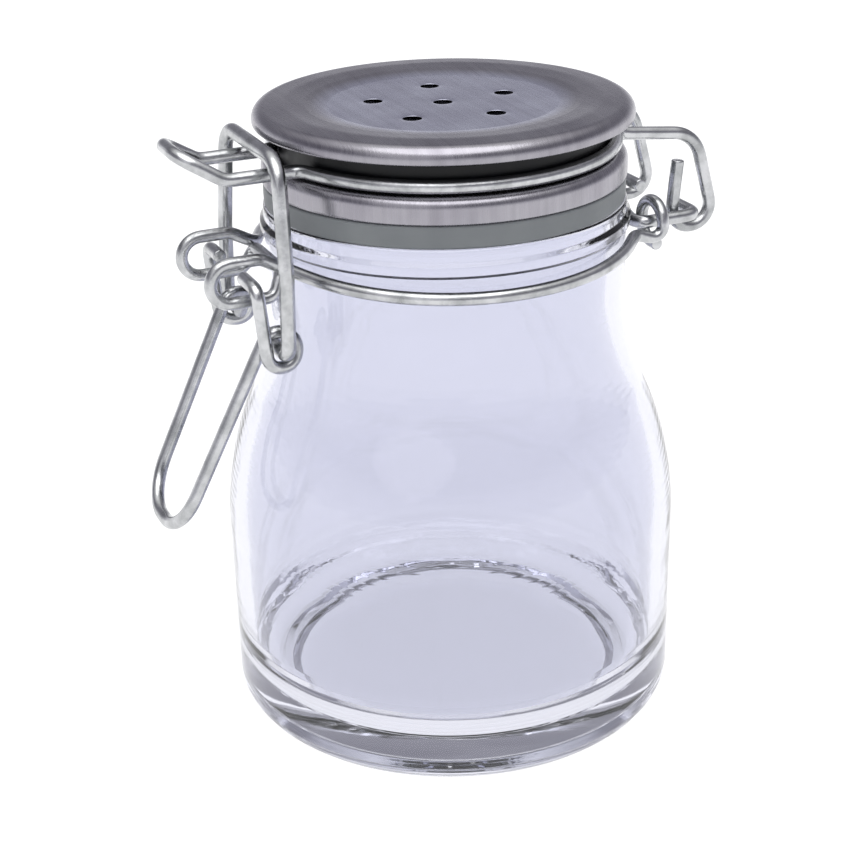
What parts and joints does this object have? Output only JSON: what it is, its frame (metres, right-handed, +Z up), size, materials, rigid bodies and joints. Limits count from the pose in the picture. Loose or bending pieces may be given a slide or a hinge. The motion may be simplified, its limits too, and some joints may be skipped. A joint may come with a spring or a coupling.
{
  "type": "bail clamp jar",
  "caption": "Small clear glass jar with a perforated steel shaker lid, held shut by a bent wire bail clamp and hinged on wire pins at the back.",
  "frame": {"origin": "centre of the resting face under the glass", "axes": "+Z up along the jar's axis, -Y towards the clamp, +Y towards the hinge, X along the hinge and lever pivots"},
  "size_m": [0.068, 0.086, 0.0929],
  "materials": {
    "glass": "clear, smooth",
    "wire": "bright drawn steel wire",
    "steel_sheet": "brushed stainless sheet",
    "core_plastic": "moulded, matt",
    "gasket": "translucent silicone"
  },
  "bodies": {
    "jar": {"glass_jar": "glass", "neck_wire": "wire", "hinge_wire": "wire"},
    "lid": {"lid_cap": "steel_sheet", "lid_core": "core_plastic", "lid_ring": "steel_sheet", "gasket": "gasket", "lid_wire": "wire"},
    "lever": {"lever_wire": "wire"},
    "link": {"link_wire": "wire"}
  },
  "joints": [
    {"name": "lid_hinge", "type": "hinge", "parent": "jar", "child": "lid", "pos_m": [0, 0.0355, 0.0738], "axis": [-1, 0, 0], "range_deg": [0, 210]},
    {"name": "lever_pivot", "type": "hinge", "parent": "jar", "child": "lever", "pos_m": [0, -0.0326, 0.0728], "axis": [-1, 0, 0], "range_deg": [0, 115]},
    {"name": "link_pivot", "type": "hinge", "parent": "lever", "child": "link", "pos_m": [0, -0.0294, 0.0634], "axis": [-1, 0, 0], "range_deg": [-112.8, 0]}
  ],
  "couplings": [
    {"joint": "link_pivot", "follows": "lever_pivot", "ratio": -0.98}
  ]
}
